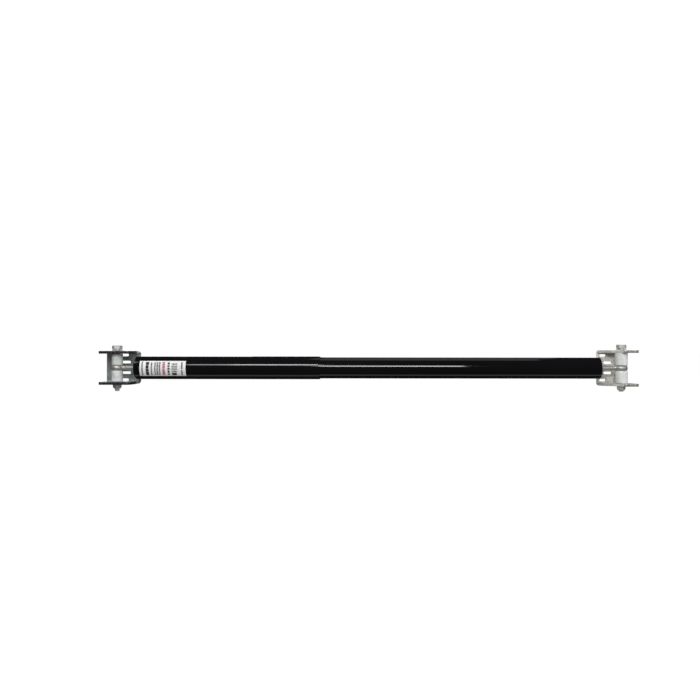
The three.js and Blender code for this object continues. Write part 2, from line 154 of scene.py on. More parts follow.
def turned(name, outline, axis="X", centre=None, steps=72, loop=True, smooth_deg=32):
    """A body of revolution. The outline is (radius, place) points; loop says that it closes on itself."""
    centre = centre or Vector((0, ARM_Y, 0))
    rings = [
        [at_angle(axis, centre, r, TAU * j / steps, t) for j in range(steps)] for r, t in outline
    ]
    return skin(name, rings, loop, smooth_deg)


def ring_outline(inner, outer, start, end, soft):
    """A ring's section with its outer edges rounded and its bore edges eased."""
    ease = min(soft, 0.3 * MM)
    return rounded(
        [(inner, start, ease), (outer, start, soft), (outer, end, soft), (inner, end, ease)], per_arc=4
    )


def solid_outline(radius, start, end, soft):
    """A plain round bar's half section, from axis to axis, with rounded edges."""
    arc = [k / 4 * math.pi / 2 for k in range(5)]
    first = [(radius - soft + soft * math.sin(a), start + soft - soft * math.cos(a)) for a in arc]
    last = [(radius - soft + soft * math.cos(a), end - soft + soft * math.sin(a)) for a in arc]
    return first + last


def prism(name, outline, axis, start, end):
    """An outline drawn across an axis and extruded along it: (y, z) for X, (x, z) for Y, (x, y) for Z."""
    place = {
        "X": lambda u, v, w: Vector((w, u, v)),
        "Y": lambda u, v, w: Vector((u, w, v)),
        "Z": lambda u, v, w: Vector((u, v, w)),
    }[axis]
    bm = bmesh.new()
    low = [bm.verts.new(place(u, v, start)) for u, v in outline]
    high = [bm.verts.new(place(u, v, end)) for u, v in outline]
    bm.faces.new(low)
    bm.faces.new(high)
    for i in range(len(low)):
        k = (i + 1) % len(low)
        bm.faces.new((low[i], low[k], high[k], high[i]))
    bmesh.ops.recalc_face_normals(bm, faces=bm.faces)
    mesh = bpy.data.meshes.new(name)
    bm.to_mesh(mesh)
    bm.free()
    obj = bpy.data.objects.new(name, mesh)
    bpy.context.scene.collection.objects.link(obj)
    return obj


def settle(obj):
    """Applies an object's modifiers to its mesh."""
    graph = bpy.context.evaluated_depsgraph_get()
    done = bpy.data.meshes.new_from_object(obj.evaluated_get(graph))
    obj.modifiers.clear()
    old = obj.data
    obj.data = done
    bpy.data.meshes.remove(old)


def carve(obj, tool, operation="DIFFERENCE"):
    step = obj.modifiers.new("carve", "BOOLEAN")
    step.operation = operation
    step.solver = "EXACT"
    step.object = tool
    settle(obj)
    bpy.data.objects.remove(tool)


def soften(obj, width, segments=3, angle_deg=38):
    step = obj.modifiers.new("soften", "BEVEL")
    step.width = width
    step.segments = segments
    step.limit_method = "ANGLE"
    step.angle_limit = math.radians(angle_deg)
    step.harden_normals = False
    settle(obj)


def shade(obj, smooth_deg=32):
    for polygon in obj.data.polygons:
        polygon.use_smooth = True
    obj.data.set_sharp_from_angle(angle=math.radians(smooth_deg))


# ---------------------------------------------------------------- materials


NOISE_ROUGHNESS = 0.55


class Finish:
    """A Principled material, with short calls for the textures that drive it."""

    def __init__(self, name, **sockets):
        self.material = bpy.data.materials.new(name)
        self.material.use_nodes = True
        self.tree = self.material.node_tree
        self.shader = self.tree.nodes["Principled BSDF"]
        for socket, value in sockets.items():
            self.shader.inputs[socket.replace("_", " ")].default_value = value
        self.place = self.tree.nodes.new("ShaderNodeTexCoord").outputs["Object"]

    def link(self, output, node, socket):
        self.tree.links.new(output, node.inputs[socket])

    def coords(self, stretch):
        node = self.tree.nodes.new("ShaderNodeMapping")
        node.inputs["Scale"].default_value = stretch
        self.link(self.place, node, "Vector")
        return node.outputs["Vector"]

    def noise(self, scale, detail=3.0, stretch=(1, 1, 1), distortion=0.0):
        node = self.tree.nodes.new("ShaderNodeTexNoise")
        node.inputs["Scale"].default_value = scale
        node.inputs["Detail"].default_value = detail
        node.inputs["Roughness"].default_value = NOISE_ROUGHNESS
        node.inputs["Distortion"].default_value = distortion
        self.link(self.coords(stretch), node, "Vector")
        return node.outputs["Fac"]

    def cells(self, scale):
        """The distance to the nearest of a scatter of points."""
        node = self.tree.nodes.new("ShaderNodeTexVoronoi")
        node.inputs["Scale"].default_value = scale
        self.link(self.coords((1, 1, 1)), node, "Vector")
        return node.outputs["Distance"]

    def edges(self, low, high):
        """0 to 1 over a range of pointiness: 1 on sharp outward edges."""
        node = self.tree.nodes.new("ShaderNodeNewGeometry")
        return self.spread(node.outputs["Pointiness"], low, high, 0, 1)

    def spread(self, value, low, high, to_low, to_high):
        """Maps low..high to to_low..to_high, clamped."""
        node = self.tree.nodes.new("ShaderNodeMapRange")
        node.inputs["From Min"].default_value = low
        node.inputs["From Max"].default_value = high
        node.inputs["To Min"].default_value = to_low
        node.inputs["To Max"].default_value = to_high
        self.link(value, node, "Value")
        return node.outputs["Result"]

    def maths(self, operation, a, b):
        node = self.tree.nodes.new("ShaderNodeMath")
        node.operation = operation
        for socket, value in zip(node.inputs, (a, b)):
            if isinstance(value, (int, float)):
                socket.default_value = value
            else:
                self.tree.links.new(value, socket)
        return node.outputs[0]

    def blend(self, share, a, b):
        node = self.tree.nodes.new("ShaderNodeMix")
        node.data_type = "RGBA"
        self.tree.links.new(share, node.inputs[0])
        for socket, value in ((node.inputs[6], a), (node.inputs[7], b)):
            if isinstance(value, tuple):
                socket.default_value = (*value, 1)
            else:
                self.tree.links.new(value, socket)
        return node.outputs[2]

    def colour(self, output):
        self.link(output, self.shader, "Base Color")
        return self

    def rough(self, output):
        self.link(output, self.shader, "Roughness")
        return self

    def bump(self, height, strength, depth):
        node = self.tree.nodes.new("ShaderNodeBump")
        node.inputs["Strength"].default_value = strength
        node.inputs["Distance"].default_value = depth
        self.link(height, node, "Height")
        if self.shader.inputs["Normal"].links:
            self.link(self.shader.inputs["Normal"].links[0].from_socket, node, "Normal")
        self.link(node.outputs["Normal"], self.shader, "Normal")
        return self


def black_tube():
    """Gloss black powder coat: a faint orange peel, wiped haze and a trace of wear on the lips."""
    f = Finish("black_tube", Metallic=0.0, IOR=1.45, Specular_IOR_Level=0.5)
    haze = f.noise(14, 4, stretch=(0.35, 1, 1), distortion=0.4)
    tone = f.blend(haze, (0.0016, 0.0016, 0.002), (0.005, 0.005, 0.0058))
    wear = f.maths("MULTIPLY", f.edges(0.56, 0.66), f.spread(f.noise(420, 3), 0.45, 0.62, 0, 1))
    f.colour(f.blend(wear, tone, (0.04, 0.04, 0.042)))
    fine = f.spread(f.noise(900, 2, stretch=(0.08, 1, 1)), 0.3, 0.7, -0.01, 0.015)
    f.rough(f.maths("ADD", f.spread(haze, 0.3, 0.75, 0.05, 0.1), fine))
    f.bump(f.noise(420, 1.0), 0.02, 0.00003)
    return f.material


def black_cap():
    """Moulded black plastic with a fine grain."""
    f = Finish("black_cap", Metallic=0.0, IOR=1.49, Specular_IOR_Level=0.4)
    mottle = f.noise(90, 4)
    f.colour(f.blend(mottle, (0.006, 0.006, 0.0065), (0.016, 0.016, 0.017)))
    f.rough(f.spread(f.noise(300, 3), 0.3, 0.7, 0.42, 0.6))
    f.bump(f.cells(1500), 0.25, 0.00008)
    return f.material


def zinc_plate(name, light, dark, rough_low, rough_high, metallic, blotch=(190, 0.42, 0.6)):
    """Zinc-plated sheet steel: blotchy plating, faint rolling lines, grime and bright worn edges."""
    f = Finish(name, Metallic=metallic, IOR=1.5)
    scale, low, high = blotch
    cloud = f.spread(f.noise(scale, 4, distortion=0.9), low, high, 0, 1)
    tone = f.blend(cloud, dark, light)
    spangle = f.spread(f.cells(520), 0.0, 0.9, 0.0, 0.3)
    tone = f.blend(spangle, tone, tuple(0.5 * c for c in dark))
    stain = f.spread(f.noise(60, 6, distortion=1.4), 0.55, 0.72, 0, 0.5)
    tone = f.blend(stain, tone, tuple(0.7 * a + 0.1 * b for a, b in zip(dark, (0.5, 0.42, 0.28))))
    worn = f.edges(0.52, 0.6)
    f.colour(f.blend(worn, tone, tuple(min(1, 1.25 * c) for c in light)))
    lines = f.noise(1500, 2, stretch=(0.03, 1, 1))
    rough = f.spread(cloud, 0, 1, rough_low, rough_high)
    f.rough(f.maths("ADD", rough, f.spread(lines, 0.3, 0.7, -0.03, 0.04)))
    f.bump(lines, 0.08, 0.00004)
    f.bump(f.noise(350, 4), 0.1, 0.00008)
    return f.material


def cut_edge(name, light, dark):
    """A sheared edge: a bright burnished band over a darker, torn one, with drag marks down it."""
    f = Finish(name, Metallic=0.85, IOR=1.5)
    drag = f.noise(1300, 3, stretch=(1, 1, 0.06))
    tone = f.blend(f.spread(drag, 0.35, 0.65, 0, 1), dark, light)
    torn = f.spread(f.noise(300, 5), 0.45, 0.6, 0, 0.6)
    f.colour(f.blend(torn, tone, tuple(0.5 * c for c in dark)))
    f.rough(f.spread(drag, 0.3, 0.7, 0.26, 0.46))
    f.bump(drag, 0.15, 0.00006)
    return f.material


def zinc_fastener():
    """Bright zinc on bolts and nuts, with tool marks and a cloudy tone."""
    f = Finish("zinc_fastener", Metallic=0.55, IOR=1.5)
    cloud = f.noise(260, 4, distortion=0.6)
    tone = f.blend(f.spread(cloud, 0.3, 0.7, 0, 1), (0.42, 0.41, 0.39), (0.66, 0.65, 0.63))
    f.colour(f.blend(f.edges(0.52, 0.62), tone, (0.86, 0.85, 0.83)))
    f.rough(f.spread(f.noise(900, 3, stretch=(1, 1, 0.1)), 0.3, 0.7, 0.24, 0.4))
    f.bump(f.noise(1400, 2, stretch=(1, 1, 0.15)), 0.08, 0.00003)
    return f.material


def bright_steel():
    """Drawn steel bar: fine marks round it and a warm, uneven tone."""
    f = Finish("bright_steel", Metallic=0.8, IOR=1.5)
    cloud = f.spread(f.noise(90, 3, stretch=(0.4, 1, 1), distortion=0.3), 0.3, 0.7, 0, 1)
    tone = f.blend(cloud, (0.50, 0.48, 0.44), (0.60, 0.59, 0.55))
    f.colour(f.blend(f.edges(0.54, 0.64), tone, (0.78, 0.76, 0.72)))
    marks = f.noise(1500, 2, stretch=(1, 0.05, 0.05))
    f.rough(f.spread(marks, 0.3, 0.7, 0.40, 0.50))
    f.bump(marks, 0.02, 0.00001)
    return f.material


def spacer_nylon():
    """Off-white moulded nylon, a little translucent, with flow clouds and a fine turned texture."""
    f = Finish("spacer_nylon", Metallic=0.0, IOR=1.5, Specular_IOR_Level=0.45, Subsurface_Weight=0.12)
    f.shader.inputs["Subsurface Radius"].default_value = (0.0015, 0.0014, 0.0012)
    f.shader.inputs["Subsurface Scale"].default_value = 1.0
    cloud = f.spread(f.noise(160, 5, stretch=(1, 1, 0.5), distortion=0.9), 0.3, 0.7, 0, 1)
    tone = f.blend(cloud, (0.46, 0.49, 0.48), (0.62, 0.64, 0.62))
    grime = f.spread(f.noise(55, 5, distortion=1.0), 0.58, 0.75, 0, 0.4)
    f.colour(f.blend(grime, tone, (0.30, 0.31, 0.29)))
    turned_marks = f.noise(1100, 2, stretch=(0.1, 0.1, 1))
    f.rough(f.spread(turned_marks, 0.3, 0.7, 0.42, 0.58))
    f.bump(turned_marks, 0.1, 0.00005)
    return f.material


def insert_nylon():
    f = Finish("insert_nylon", Metallic=0.0, IOR=1.5)
    f.colour(f.blend(f.noise(400, 4), (0.07, 0.12, 0.34), (0.12, 0.19, 0.46)))
    f.rough(f.spread(f.noise(900, 2), 0.3, 0.7, 0.4, 0.55))
    f.bump(f.noise(1500, 2), 0.1, 0.00004)
    return f.material


def bush_bronze():
    f = Finish("bush_bronze", Metallic=0.95, IOR=1.5)
    f.colour(f.blend(f.noise(300, 5, distortion=0.5), (0.36, 0.23, 0.09), (0.62, 0.44, 0.2)))
    f.rough(f.spread(f.cells(1800), 0, 0.6, 0.3, 0.5))
    f.bump(f.cells(2600), 0.15, 0.00004)
    return f.material


def alloy():
    """Turned aluminium with cutting marks round it."""
    f = Finish("alloy", Metallic=0.95, IOR=1.5)
    f.colour(f.blend(f.noise(200, 4), (0.50, 0.51, 0.52), (0.68, 0.69, 0.70)))
    marks = f.noise(2600, 1.5, stretch=(1, 0.04, 0.04))
    f.rough(f.spread(marks, 0.3, 0.7, 0.24, 0.42))
    f.bump(marks, 0.14, 0.00004)
    return f.material


def seal_rubber():
    f = Finish("seal_rubber", Metallic=0.0, IOR=1.5, Specular_IOR_Level=0.3)
    f.colour(f.blend(f.noise(250, 5), (0.010, 0.010, 0.010), (0.028, 0.028, 0.027)))
    f.rough(f.spread(f.noise(700, 4), 0.3, 0.7, 0.65, 0.85))
    f.bump(f.noise(1200, 4), 0.2, 0.00006)
    return f.material


def label_film():
    """White film, slightly wavy over the tube, with a little handling dirt."""
    f = Finish("label_film", Metallic=0.0, IOR=1.46, Specular_IOR_Level=0.35)
    tone = f.blend(f.noise(60, 4), (0.59, 0.59, 0.59), (0.69, 0.69, 0.68))
    dirt = f.spread(f.noise(140, 6, distortion=1.2), 0.6, 0.8, 0, 0.35)
    f.colour(f.blend(dirt, tone, (0.50, 0.49, 0.47)))
    f.rough(f.spread(f.noise(200, 3), 0.3, 0.7, 0.34, 0.48))
    f.bump(f.noise(90, 3, stretch=(1, 0.5, 0.5)), 0.15, 0.0001)
    return f.material


def label_ink(name, light, dark):
    """Printing ink with a slightly uneven cover."""
    f = Finish(name, Metallic=0.0, IOR=1.46, Specular_IOR_Level=0.35)
    f.colour(f.blend(f.spread(f.noise(900, 5), 0.35, 0.65, 0, 1), dark, light))
    f.rough(f.spread(f.noise(500, 3), 0.3, 0.7, 0.38, 0.52))
    return f.material


FINISHES = {
    "black_tube": black_tube(),
    "black_cap": black_cap(),
    "zinc_plate": zinc_plate("zinc_plate", (0.88, 0.86, 0.79), (0.62, 0.60, 0.54), 0.34, 0.5, 0.4),
    "zinc_fastener": zinc_fastener(),
    "bright_steel": bright_steel(),
    "spacer_nylon": spacer_nylon(),
    "insert_nylon": insert_nylon(),
    "bush_bronze": bush_bronze(),
    "alloy": alloy(),
    "seal_rubber": seal_rubber(),
    "label_film": label_film(),
}
# The gate bracket's plate finish is a darker copy of the same zinc: painted shade for the shadow the gate end
# sits in.
SHADED_GATE_ZINC = zinc_plate(
    "zinc_plate_gate_shaded", (0.40, 0.42, 0.42), (0.04, 0.043, 0.045), 0.28, 0.48, 0.7, (150, 0.4, 0.62)
)
# The gate bracket's edge finish is a darker copy too: painted shade on the front edges of its ears, over the
# sheared edge's own tone.
SHADED_GATE_EDGE = cut_edge("zinc_edge_gate_shaded", (0.16, 0.165, 0.165), (0.05, 0.052, 0.052))
POST_EDGE = cut_edge("zinc_edge_post", (0.84, 0.82, 0.76), (0.50, 0.49, 0.45))


def stand_in(obj, node, material=None):
    """The piece rides with the node's body, takes its slot, and is shown in its place."""
    obj.data.materials.clear()
    obj.data.materials.append(material or FINISHES[SLOT_OF[node]])
    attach(obj, BODY_OF[node])
    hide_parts(node)
    return obj


# ---------------------------------------------------------------- brackets


def mark_edges(body, material, behind):
    """The sheared edge of the plate gets its own finish in front of `behind`: upright faces of the ears. On
    the gate bracket that finish is darker: painted shade on top of the sheared edge's own tone.
    """
    body.data.materials.append(material)
    for polygon in body.data.polygons:
        if polygon.center.y < behind and abs(polygon.normal.z) < 0.35:
            polygon.material_index = 1


def make_bracket(node, pivot, plan, slots, rounded_side, corner, material, edge, bevel):
    """A plate bent into a U round its bolt. `plan` and `slots` are measured from the bolt, in millimetres."""
    lo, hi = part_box(node)
    half = (hi.z - lo.z) / 2
    deep = lo.y - 20 * MM
    inner = half - PLATE
    profile = rounded(
        [
            (hi.y, -half, BEND),
            (hi.y, half, BEND),
            (deep, half, 0),
            (deep, inner, 0),
            (hi.y - PLATE, inner, BEND - PLATE),
            (hi.y - PLATE, -inner, BEND - PLATE),
            (deep, -inner, 0),
            (deep, -half, 0),
        ],
        per_arc=10,
    )
    body = prism(node + "_made", profile, "X", lo.x - 5 * MM, hi.x + 5 * MM)
    outline = rounded([(pivot.x + x * MM, y * MM, r * MM) for x, y, r in plan], per_arc=10)
    carve(body, prism("plan", outline, "Z", -2 * half, 2 * half), "INTERSECT")
    radius = SHOULDER + CLEAR
    bore = [
        (pivot.x + radius * math.cos(a), pivot.y + radius * math.sin(a))
        for a in (TAU * k / 40 for k in range(40))
    ]
    carve(body, prism("bore", bore, "Z", -2 * half, 2 * half))
    end = SLOT_HEIGHT / 2
    for start, stop, z in slots:
        x0, x1, z0 = pivot.x + start * MM, pivot.x + stop * MM, z * MM
        low, high, turn = z0 - end, z0 + end, end * 0.99
        slot = rounded([(x0, low, turn), (x1, low, turn), (x1, high, turn), (x0, high, turn)], per_arc=7)
        carve(body, prism("slot", slot, "Y", -3 * PLATE, 3 * PLATE))
    for side in (-1, 1):
        x = (hi.x if rounded_side > 0 else lo.x) - rounded_side * corner
        z = side * (half - corner)
        arc = [
            (x + rounded_side * corner * math.cos(a), z + side * corner * math.sin(a))
            for a in (math.pi / 2 * k / 10 for k in range(11))
        ]
        far = 3 * MM  # how far the tool reaches past the plate
        past_x, past_z = x + rounded_side * (corner + far), z + side * (corner + far)
        tool = [(past_x, z)] + arc + [(x, past_z), (past_x, past_z)]
        carve(body, prism("corner", tool, "Y", -3 * PLATE, 3 * PLATE))
    soften(body, bevel)
    shade(body, 34)
    stand_in(body, node, material)
    mark_edges(body, edge, lo.y + (hi.y - lo.y) / 2)


def gate_bracket():
    lo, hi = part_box("gate_bracket")
    front = lo.y / MM
    left, right = (lo.x - GATE.x) / MM, (hi.x - GATE.x) / MM
    ear_end, step = 26, -9.5
    plan = [
        (left, 2, 0),
        (left, front, 4),
        (ear_end, front, 6),
        (ear_end, step, 2),
        (right, step, 1),
        (right, 2, 0),
    ]
    slots = [(-9, 11.5, 21), (-9, 11.5, -21), (-1, 15, 9), (-1, 15, -9)]
    # The gate bracket takes the darker plate and edge finishes: painted shade.
    make_bracket("gate_bracket", GATE, plan, slots, 1, 5 * MM, SHADED_GATE_ZINC, SHADED_GATE_EDGE, 0.9 * MM)


def post_bracket():
    lo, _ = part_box("post_bracket")
    front, left = lo.y / MM, lo.x / MM
    web_right, nose_left, nose_right = 17.5, 2.4, 27
    plate = PLATE / MM
    plan = [
        (left, 2, 0),
        (left, -plate - 1.5, 2),
        (nose_left, front, 5),
        (nose_right, front, 5),
        (web_right, -plate, 3),
        (web_right, 2, 0),
    ]
    slots = [(-30, -18.5, 21), (-30, -18.5, -21), (-23, -8.5, 8.6), (-23, -8.5, -8.6)]
    make_bracket("post_bracket", POST, plan, slots, -1, 3 * MM, FINISHES["zinc_plate"], POST_EDGE, 0.55 * MM)


# ---------------------------------------------------------------- fasteners

STEPS = 96


def hexagon(flats, angle, twist):
    """The radius of a hexagon's outline at an angle, with its corners a little rounded off."""
    a = (angle - twist + math.pi / 6) % (math.pi / 3) - math.pi / 6
    return min(flats / 2 / math.cos(a), flats / math.sqrt(3) * 0.982)


def round_ring(centre, radius, z):
    return [at_angle("Z", centre, radius, TAU * j / STEPS, z) for j in range(STEPS)]


def hex_ring(centre, flats, z, twist, cone=None):
    """A ring on a hexagon's sides. `cone` is (radius, slope, way): beyond the radius it slopes off in Z."""
    ring = []
    for j in range(STEPS):
        angle = TAU * j / STEPS
        r = hexagon(flats, angle, twist)
        level = z
        if cone:
            radius, slope, way = cone
            level -= way * max(0, r - radius) * slope
        ring.append(at_angle("Z", centre, r, angle, level))
    return ring


def thread_rings(centre, tip, top, chamfer):
    """Rings of a helical thread from its tip up."""
    rows = round((top - tip) / PITCH * 14)
    rings = []
    for i in range(rows + 1):
        z = tip + (top - tip) * i / rows
        ring = []
        for j in range(STEPS):
            phase = (z / PITCH - j / STEPS) % 1
            ridge = min(1, max(0, 1.25 - abs(phase - 0.5) * 2.6))
            r = THREAD - THREAD_DEPTH * (1 - ridge)
            r = min(r, THREAD - max(0, chamfer - (z - tip)))
            ring.append(at_angle("Z", centre, r, TAU * j / STEPS, z))
        rings.append(ring)
    return rings


def bolt(end, pivot, twist):
    lo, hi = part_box(f"{end}_bolt")
    washer_lo, washer_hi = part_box(f"{end}_washer")
    bracket_lo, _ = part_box(f"{end}_bracket")
    under = washer_hi.z + CLEAR
    shoulder_end = bracket_lo.z + 0.2 * MM
    face = HEAD_FLATS / 2 * 0.96
    top = hi.z
    rings = thread_rings(pivot, lo.z, shoulder_end - 0.8 * MM, 0.9 * MM)
    rings += [
        round_ring(pivot, THREAD - THREAD_DEPTH, shoulder_end - 0.3 * MM),
        round_ring(pivot, THREAD - THREAD_DEPTH, shoulder_end),
        round_ring(pivot, SHOULDER - 0.3 * MM, shoulder_end),
        round_ring(pivot, SHOULDER, shoulder_end + 0.3 * MM),
        round_ring(pivot, SHOULDER, under),
        round_ring(pivot, face, under),
        round_ring(pivot, face, under + 0.35 * MM),
        hex_ring(pivot, HEAD_FLATS, under + 0.35 * MM, twist, (face, 0.5, -1)),
        hex_ring(pivot, HEAD_FLATS, top - 0.15 * MM, twist, (face, 0.58, 1)),
        round_ring(pivot, face, top),
        round_ring(pivot, face * 0.86, top),
        round_ring(pivot, face * 0.8, top - 0.3 * MM),
        round_ring(pivot, face * 0.3, top - 0.35 * MM),
    ]
    stand_in(skin(f"{end}_bolt_made", rings, False, 28), f"{end}_bolt")


def washer(end, pivot):
    lo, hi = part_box(f"{end}_washer")
    outline = ring_outline(SHOULDER + CLEAR, (hi.x - lo.x) / 2, lo.z, hi.z, 0.45 * MM)
    stand_in(turned(f"{end}_washer_made", outline, "Z", pivot, 96), f"{end}_washer")


def lock_nut(end, pivot, twist):
    lo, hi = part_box(f"{end}_lock_nut")
    insert_lo, insert_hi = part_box(f"{end}_nut_insert")
    bore = THREAD + CLEAR
    face = NUT_FLATS / 2 * 0.97
    hex_end = insert_hi.z + CLEAR
    collar = NUT_FLATS / 2 - 0.55 * MM
    seat = THREAD + 1.35 * MM
    rings = [
        round_ring(pivot, bore, hi.z - 0.5 * MM),
        round_ring(pivot, bore + 0.5 * MM, hi.z),
        round_ring(pivot, face, hi.z),
        hex_ring(pivot, NUT_FLATS, hi.z, twist, (face, 0.58, 1)),
        hex_ring(pivot, NUT_FLATS, hex_end, twist, (face - 0.2 * MM, 0.58, -1)),
        round_ring(pivot, collar + 0.35 * MM, hex_end - 0.1 * MM),
        round_ring(pivot, collar, hex_end - 0.4 * MM),
        round_ring(pivot, collar, lo.z + 0.7 * MM),
        round_ring(pivot, collar - 0.25 * MM, lo.z + 0.25 * MM),
        round_ring(pivot, collar - 0.7 * MM, lo.z),
        round_ring(pivot, seat - 0.35 * MM, lo.z + 0.05 * MM),
        round_ring(pivot, seat - 0.35 * MM, lo.z + 0.25 * MM),
        round_ring(pivot, seat, lo.z + 0.3 * MM),
        round_ring(pivot, seat, hex_end),
        round_ring(pivot, bore, hex_end),
    ]
    stand_in(skin(f"{end}_lock_nut_made", rings, True, 28), f"{end}_lock_nut")
    outline = ring_outline(THREAD + 0.1 * MM, seat - 0.3 * MM, insert_lo.z, insert_hi.z, 0.25 * MM)
    stand_in(turned(f"{end}_nut_insert_made", outline, "Z", pivot, 64), f"{end}_nut_insert")


def spacer(node, pivot):
    """A moulded spacer: rounded ends and a shallow witness line where the mould halves met."""
    lo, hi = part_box(node)
    radius, bore = (hi.x - lo.x) / 2, SHOULDER + CLEAR
    middle, line = (lo.z + hi.z) / 2, 0.12 * MM
    outline = rounded(
        [
            (bore, lo.z, 0.4 * MM),
            (radius, lo.z, 0.9 * MM),
            (radius, middle - line, 0),
            (radius - line, middle, 0),
            (radius, middle + line, 0),
            (radius, hi.z, 0.9 * MM),
            (bore, hi.z, 0.4 * MM),
        ],
        per_arc=5,
    )
    stand_in(turned(node + "_made", outline, "Z", pivot, 96), node)


# ---------------------------------------------------------------- eyes


def eye(node, pivot, way):
    """A forged eye and its stud, joined by a weld fillet. `way` is +1 where the stud runs to +X."""
    lo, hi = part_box(node)
    half = (hi.z - lo.z) / 2
    radius = (hi.y - lo.y) / 2
    bore = BUSH + CLEAR
    flat = 0.5 * MM
    wall = radius - bore - flat
    turns = [math.pi * (k / 24 - 0.5) for k in range(25)]
    outline = [(bore + flat + wall * math.cos(a), half * math.sin(a)) for a in turns]
    outline += [(bore + flat / 2, half), (bore, half - flat / 2)]
    outline += [(bore, flat / 2 - half), (bore + flat / 2, -half)]
    body = turned(node + "_made", outline, "Z", pivot, 96)
    tip = hi.x if way > 0 else lo.x
    root = pivot.x + way * (bore + 1.6 * MM)
    fillet = 3.2 * MM
    arc = [math.pi / 2 * k / 8 for k in range(9)]
    weld = pivot.x + way * (radius - 0.8 * MM)
    stud = [(STUD + fillet * 0.4, root), (STUD + fillet * 0.4, weld - way * 0.5 * MM)]
    stud += [
        (STUD + fillet * 0.4 * (1 - math.sin(a)), weld + way * fillet * (1 - math.cos(a))) for a in arc
    ]
    stud += [(STUD, weld + way * (fillet + STRAIGHT)), (STUD, tip - way * (0.8 * MM + STRAIGHT))]
    stud += [(STUD, tip - way * 0.8 * MM), (STUD - 0.8 * MM, tip)]
    rod = turned("stud", stud, "X", Vector((0, pivot.y, 0)), 64, loop=False)
    carve(body, rod, "UNION")
    turns = [TAU * k / 96 for k in range(96)]
    hole = [(pivot.x + bore * math.cos(a), pivot.y + bore * math.sin(a)) for a in turns]
    carve(body, prism("hole", hole, "Z", -2 * half, 2 * half))
    shade(body, 36)
    stand_in(body, node)


def eye_bush(node, pivot):
    lo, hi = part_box(node)
    outline = ring_outline(SHOULDER + CLEAR, BUSH, lo.z, hi.z, 0.3 * MM)
    stand_in(turned(node + "_made", outline, "Z", pivot, 64), node)


# ---------------------------------------------------------------- tubes, caps and label


def tube(node, wall, capped_low):
    """A painted tube: a soft rolled lip where a cap is pressed in, and a plain eased edge at the other end.
    A ring of points just inside each end keeps the shading straight along the whole tube."""
    lo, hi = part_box(node)
    radius = (hi.z - lo.z) / 2
    rolled, plain, inside = 0.7 * MM, 0.4 * MM, 0.25 * MM
    first, last = (rolled, plain) if capped_low else (plain, rolled)
    outline = rounded(
        [
            (radius - wall, lo.x, inside),
            (radius, lo.x, first),
            (radius, lo.x + STRAIGHT, 0),
            (radius, hi.x - STRAIGHT, 0),
            (radius, hi.x, last),
            (radius - wall, hi.x, inside),
            (radius - wall, hi.x - STRAIGHT, 0),
            (radius - wall, lo.x + STRAIGHT, 0),
        ],
        per_arc=6,
    )
    stand_in(turned(node + "_made", outline, steps=160), node)


def end_cap(node, outward, bore):
    """A plug pressed into a tube: a domed edge, and a shallow dish round the stud."""
    lo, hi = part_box(node)
    radius = (hi.z - lo.z) / 2
    face, back = (hi.x, lo.x) if outward > 0 else (lo.x, hi.x)
    into = -outward
    dish, deep = 8.5 * MM, 0.8 * MM
    dome = 2.5 * MM if outward < 0 else 0.8 * MM  # the gate cap stands proud and is rounder
    corners = [
        (bore, face + into * deep, 0.3 * MM),
        (dish, face + into * deep, 0.4 * MM),
        (dish + 0.8 * MM, face, 0.4 * MM),
        (radius, face, dome),
        (radius, back, 0.6 * MM),
        (bore, back, 0.4 * MM),
    ]
    stand_in(turned(node + "_made", rounded(corners, per_arc=6), steps=128), node)


def curved_patch(bm, x0, x1, a0, a1, low, high, step_deg=3):
    """A thin closed sheet on the front of the tube, between two places along it and two angles round it."""
    count = max(1, math.ceil(abs(math.degrees(a1 - a0)) / step_deg))
    columns = []
    for k in range(count + 1):
        a = a0 + (a1 - a0) * k / count
        columns.append(
            [
                bm.verts.new((x, ARM_Y - r * math.cos(a), r * math.sin(a)))
                for x, r in ((x0, low), (x1, low), (x1, high), (x0, high))
            ]
        )
    for p, q in zip(columns, columns[1:]):
        for i in range(4):
            j = (i + 1) % 4
            bm.faces.new((p[i], p[j], q[j], q[i]))
    bm.faces.new(columns[0])
    bm.faces.new(columns[-1])


def patch_object(name, patches, low, high):
    bm = bmesh.new()
    for x0, x1, a0, a1 in patches:
        curved_patch(bm, x0, x1, a0, a1, low, high)
    bmesh.ops.recalc_face_normals(bm, faces=bm.faces)
    mesh = bpy.data.meshes.new(name)
    bm.to_mesh(mesh)
    bm.free()
    return make_object(name, mesh, 40)


def words(rng, x, width, low, high, shortest, longest, gap):
    """Blocks in a line round the tube, like words too small to read."""
    made, at = [], low
    while at < high - shortest / 2:
        end = min(high, at + rng.uniform(shortest, longest))
        ragged = rng.uniform(0.8, 1.0)
        made.append((x, x + width * ragged, at, end))
        at = end + gap
    return made


def bars(rng, x0, x1, low, high):
    """Stacked rows of upright bars of uneven width."""
    made = []
    row, rows = (high - low) / 4, 4
    for i in range(rows):
        bottom = low + i * row
        x = x0
        while x < x1:
            width = rng.choice((0.8, 1.3, 1.9)) * MM
            made.append((x, min(x1, x + width), bottom, bottom + row * 0.8))
            x += width + rng.choice((0.25, 0.45)) * MM
    return made


